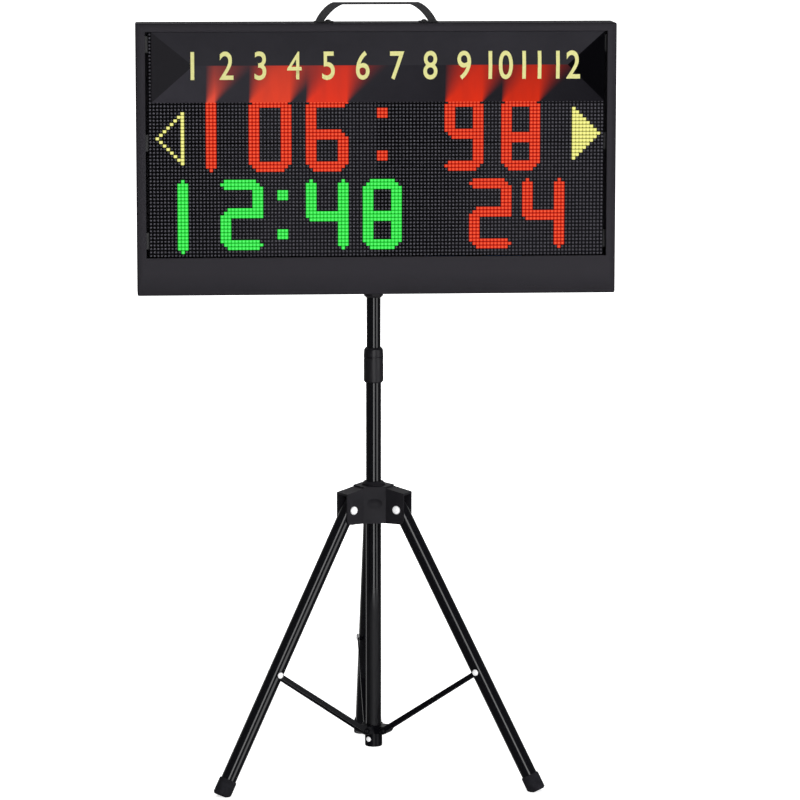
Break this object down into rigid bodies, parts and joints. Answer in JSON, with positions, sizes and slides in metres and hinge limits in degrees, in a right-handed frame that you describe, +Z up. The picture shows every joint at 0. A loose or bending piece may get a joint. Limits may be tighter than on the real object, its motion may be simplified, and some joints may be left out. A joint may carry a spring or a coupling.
{
  "type": "electronic scoreboard",
  "caption": "Portable electronic scoreboard: a flat lamp panel with a ridged header strip and a carrying handle, on a telescoping mast with a folding tripod.",
  "frame": {"origin": "middle of the footprint box, on the floor", "axes": "+Z up along the mast, the lit face looks along -Y, +X to the right as seen from the front"},
  "size_m": [0.674, 0.4092, 1.1076],
  "materials": {
    "case_shell": "satin",
    "header_skin": "satin",
    "lamp_mask": "matte",
    "rail_paint": "satin",
    "supply_case": "satin",
    "cell_wrap": "gloss",
    "circuit_board": "satin",
    "fitting_plastic": "satin",
    "rocker_plastic": "gloss",
    "handle_plastic": "satin",
    "screw_steel": "satin",
    "socket_plastic": "satin",
    "knob_plastic": "satin",
    "mast_paint": "gloss",
    "plug_plastic": "satin",
    "column_paint": "gloss",
    "collar_plastic": "satin",
    "hub_plastic": "satin",
    "leg_paint": "gloss",
    "foot_rubber": "matte",
    "rivet_metal": "satin",
    "bracket_paint": "gloss",
    "pin_paint": "satin",
    "brace_paint": "satin"
  },
  "bodies": {
    "column": {"column_tube": "column_paint", "collar_body": "collar_plastic", "collet_sleeve": "plug_plastic", "bottom_bracket": "bracket_paint", "column_rivet": "rivet_metal", "bracket_rivet_rear": "pin_paint", "bracket_rivet_left": "pin_paint", "bracket_rivet_right": "pin_paint"},
    "mast": {"mast_tube": "mast_paint", "mast_plug": "plug_plastic"},
    "twist_ring": {"twist_ring": "collar_plastic"},
    "panel": {"front_frame": "case_shell", "rear_case": "case_shell", "led_module_top_left": "lamp_mask", "led_module_top_right": "lamp_mask", "led_module_bottom_left": "lamp_mask", "led_module_bottom_right": "lamp_mask", "header_cover": "header_skin", "module_rail_top": "rail_paint", "module_rail_middle": "rail_paint", "module_rail_bottom": "rail_paint", "power_supply": "supply_case", "battery_pack": "cell_wrap", "battery_strap": "fitting_plastic", "control_card": "circuit_board", "buzzer": "fitting_plastic", "switch_body": "fitting_plastic", "charge_inlet": "fitting_plastic", "carry_handle": "handle_plastic", "handle_screw_left": "screw_steel", "handle_screw_right": "screw_steel", "case_screw_1": "screw_steel", "case_screw_2": "screw_steel", "case_screw_3": "screw_steel", "case_screw_4": "screw_steel", "mast_socket": "socket_plastic"},
    "switch_rocker": {"switch_rocker": "rocker_plastic"},
    "socket_screw": {"socket_screw": "knob_plastic"},
    "hub": {"hub": "hub_plastic", "leg_rivet_rear": "rivet_metal", "leg_rivet_left": "rivet_metal", "leg_rivet_right": "rivet_metal"},
    "hub_screw": {"hub_screw": "knob_plastic"},
    "leg_rear": {"leg_rear": "leg_paint", "foot_rear": "foot_rubber"},
    "leg_left": {"leg_left": "leg_paint", "foot_left": "foot_rubber"},
    "leg_right": {"leg_right": "leg_paint", "foot_right": "foot_rubber"},
    "brace_rear": {"brace_rear": "brace_paint", "brace_rivet_rear_near": "rivet_metal", "brace_rivet_rear_far": "rivet_metal"},
    "brace_left": {"brace_left": "brace_paint", "brace_rivet_left_near": "rivet_metal", "brace_rivet_left_far": "rivet_metal"},
    "brace_right": {"brace_right": "brace_paint", "brace_rivet_right_near": "rivet_metal", "brace_rivet_right_far": "rivet_metal"}
  },
  "joints": [
    {"name": "mast_slide", "type": "slide", "parent": "column", "child": "mast", "axis": [0, 0, 1], "range_m": [-0.065, 0.26]},
    {"name": "twist_ring_turn", "type": "hinge", "parent": "column", "child": "twist_ring", "pos_m": [-0.0027, -0.06365, 0.6118], "axis": [0, 0, 1], "range_deg": [0, 90]},
    {"name": "panel_swivel", "type": "hinge", "parent": "mast", "child": "panel", "pos_m": [-0.0027, -0.06365, 0.7], "axis": [0, 0, 1], "continuous": true},
    {"name": "rocker_tilt", "type": "hinge", "parent": "panel", "child": "switch_rocker", "pos_m": [-0.262, -0.04425, 0.738], "axis": [1, 0, 0], "range_deg": [0, 20.63]},
    {"name": "socket_screw_turn", "type": "hinge", "parent": "panel", "child": "socket_screw", "pos_m": [-0.0027, -0.05325, 0.733], "axis": [0, 1, 0], "continuous": true},
    {"name": "hub_slide", "type": "slide", "parent": "column", "child": "hub", "axis": [0, 0, 1], "range_m": [0, 0.1085]},
    {"name": "hub_screw_turn", "type": "hinge", "parent": "hub", "child": "hub_screw", "pos_m": [0.00709, -0.058, 0.39], "axis": [0.866, 0.5, 0], "continuous": true},
    {"name": "leg_rear_fold", "type": "hinge", "parent": "hub", "child": "leg_rear", "pos_m": [-0.0027, -0.02085, 0.389], "axis": [-1, 0, 0], "range_deg": [0, 28.97]},
    {"name": "leg_left_fold", "type": "hinge", "parent": "hub", "child": "leg_left", "pos_m": [-0.03977, -0.08505, 0.389], "axis": [0.5, -0.866, 0], "range_deg": [0, 28.97]},
    {"name": "leg_right_fold", "type": "hinge", "parent": "hub", "child": "leg_right", "pos_m": [0.03437, -0.08505, 0.389], "axis": [0.5, 0.866, 0], "range_deg": [0, 28.97]},
    {"name": "brace_rear_fold", "type": "hinge", "parent": "column", "child": "brace_rear", "pos_m": [-0.0027, -0.04365, 0.065], "axis": [-1, 0, 0], "range_deg": [-48.48, 0]},
    {"name": "brace_left_fold", "type": "hinge", "parent": "column", "child": "brace_left", "pos_m": [-0.02002, -0.07365, 0.065], "axis": [0.5, -0.866, 0], "range_deg": [-48.48, 0]},
    {"name": "brace_right_fold", "type": "hinge", "parent": "column", "child": "brace_right", "pos_m": [0.01462, -0.07365, 0.065], "axis": [0.5, 0.866, 0], "range_deg": [-48.48, 0]}
  ],
  "couplings": [
    {"joint": "leg_rear_fold", "follows": "hub_slide", "rad_per_m": 4.6591},
    {"joint": "leg_left_fold", "follows": "hub_slide", "rad_per_m": 4.6591},
    {"joint": "leg_right_fold", "follows": "hub_slide", "rad_per_m": 4.6591},
    {"joint": "brace_rear_fold", "follows": "hub_slide", "rad_per_m": -7.7953},
    {"joint": "brace_left_fold", "follows": "hub_slide", "rad_per_m": -7.7953},
    {"joint": "brace_right_fold", "follows": "hub_slide", "rad_per_m": -7.7953}
  ]
}
